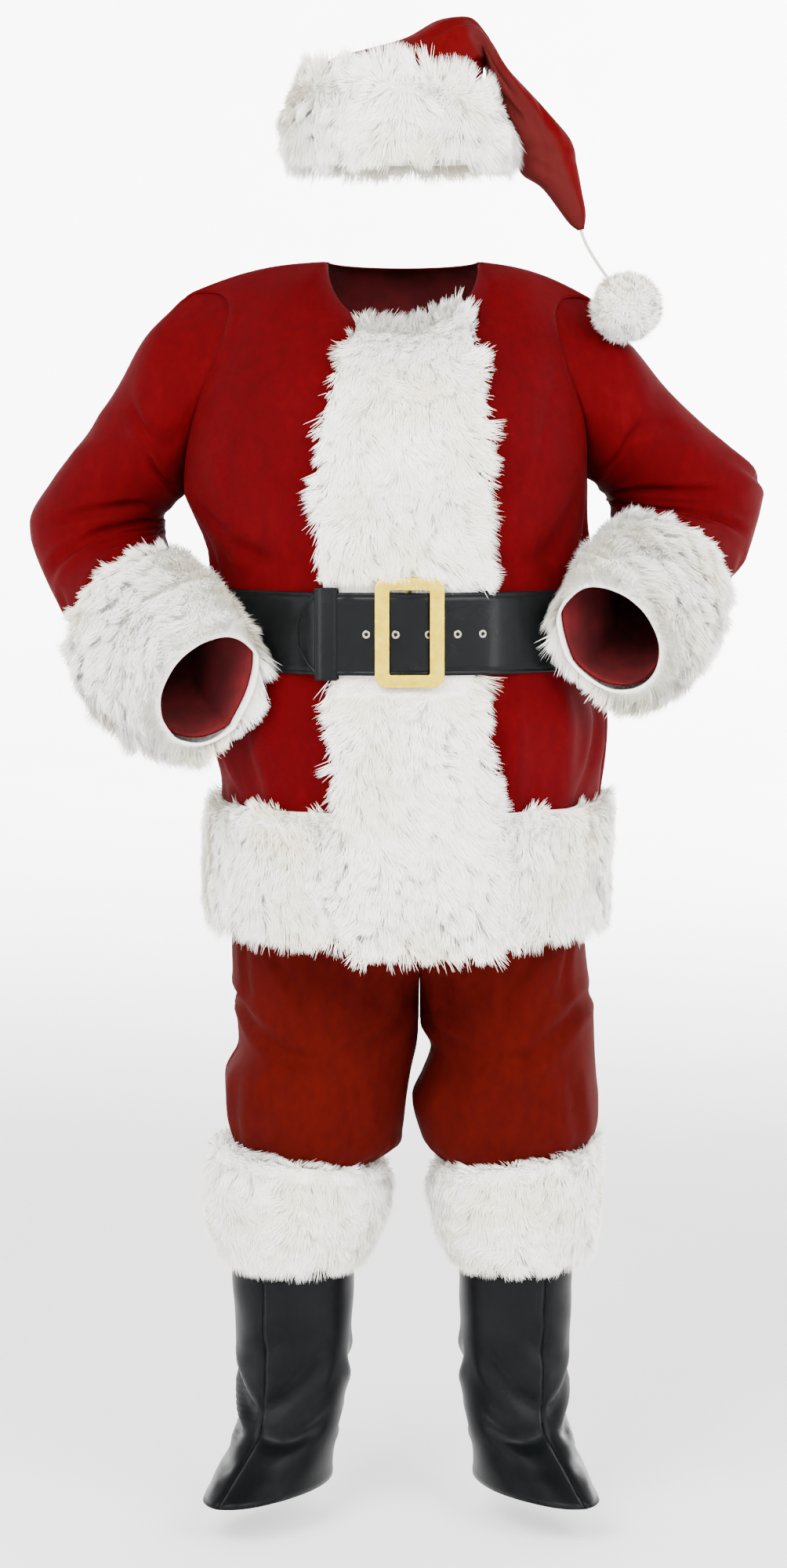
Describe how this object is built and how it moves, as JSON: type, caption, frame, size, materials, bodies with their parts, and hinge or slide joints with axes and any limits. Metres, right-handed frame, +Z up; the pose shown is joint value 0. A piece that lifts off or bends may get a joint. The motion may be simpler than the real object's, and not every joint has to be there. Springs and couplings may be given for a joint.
{
  "type": "santa suit",
  "caption": "Velvet Santa suit in its worn shape: fur-trimmed jacket with buckled belt, knee trousers, fur-topped boot covers and folded hat with pompom",
  "frame": {"origin": "the middle of the wearer's shoulder line at the base of the neck, where the garment hangs from", "axes": "+Z up, +Y from the wearer's front to the back, +X to the wearer's left"},
  "size_m": [0.887, 0.4724, 1.776],
  "materials": {
    "jacket_velvet": "crushed velvet, deep crimson",
    "trouser_velvet": "velvet, darker brick red",
    "hat_velvet": "velvet, crimson",
    "white_pile": "long-pile faux fur, warm white",
    "belt_vinyl": "glossy black leatherette",
    "boot_vinyl": "satin black leatherette",
    "gold_plate": "satin gold plate",
    "nickel_plate": "nickel plate",
    "white_cord": "twisted white cord"
  },
  "bodies": {
    "root": {"jacket_front_right": "jacket_velvet", "jacket_front_left": "jacket_velvet", "jacket_back": "jacket_velvet", "sleeve_right_front": "jacket_velvet", "sleeve_right_back": "jacket_velvet", "sleeve_left_front": "jacket_velvet", "sleeve_left_back": "jacket_velvet", "fur_cuff_right": "white_pile", "fur_cuff_left": "white_pile", "fur_front_strip": "white_pile", "fur_hem_band": "white_pile", "boot_fur_right": "white_pile", "boot_fur_left": "white_pile", "hat_fur_band": "white_pile", "pompom": "white_pile", "belt_strap": "belt_vinyl", "belt_keeper": "belt_vinyl", "buckle_frame": "gold_plate", "eyelet_1": "nickel_plate", "eyelet_2": "nickel_plate", "eyelet_3": "nickel_plate", "eyelet_4": "nickel_plate", "eyelet_5": "nickel_plate", "trouser_right_front": "trouser_velvet", "trouser_right_back": "trouser_velvet", "trouser_left_front": "trouser_velvet", "trouser_left_back": "trouser_velvet", "trouser_waistband": "trouser_velvet", "boot_top_right_outer": "boot_vinyl", "boot_top_right_inner": "boot_vinyl", "boot_top_left_outer": "boot_vinyl", "boot_top_left_inner": "boot_vinyl", "hat_crown_front": "hat_velvet", "hat_crown_back": "hat_velvet", "pompom_cord": "white_cord"}
  },
  "joints": []
}
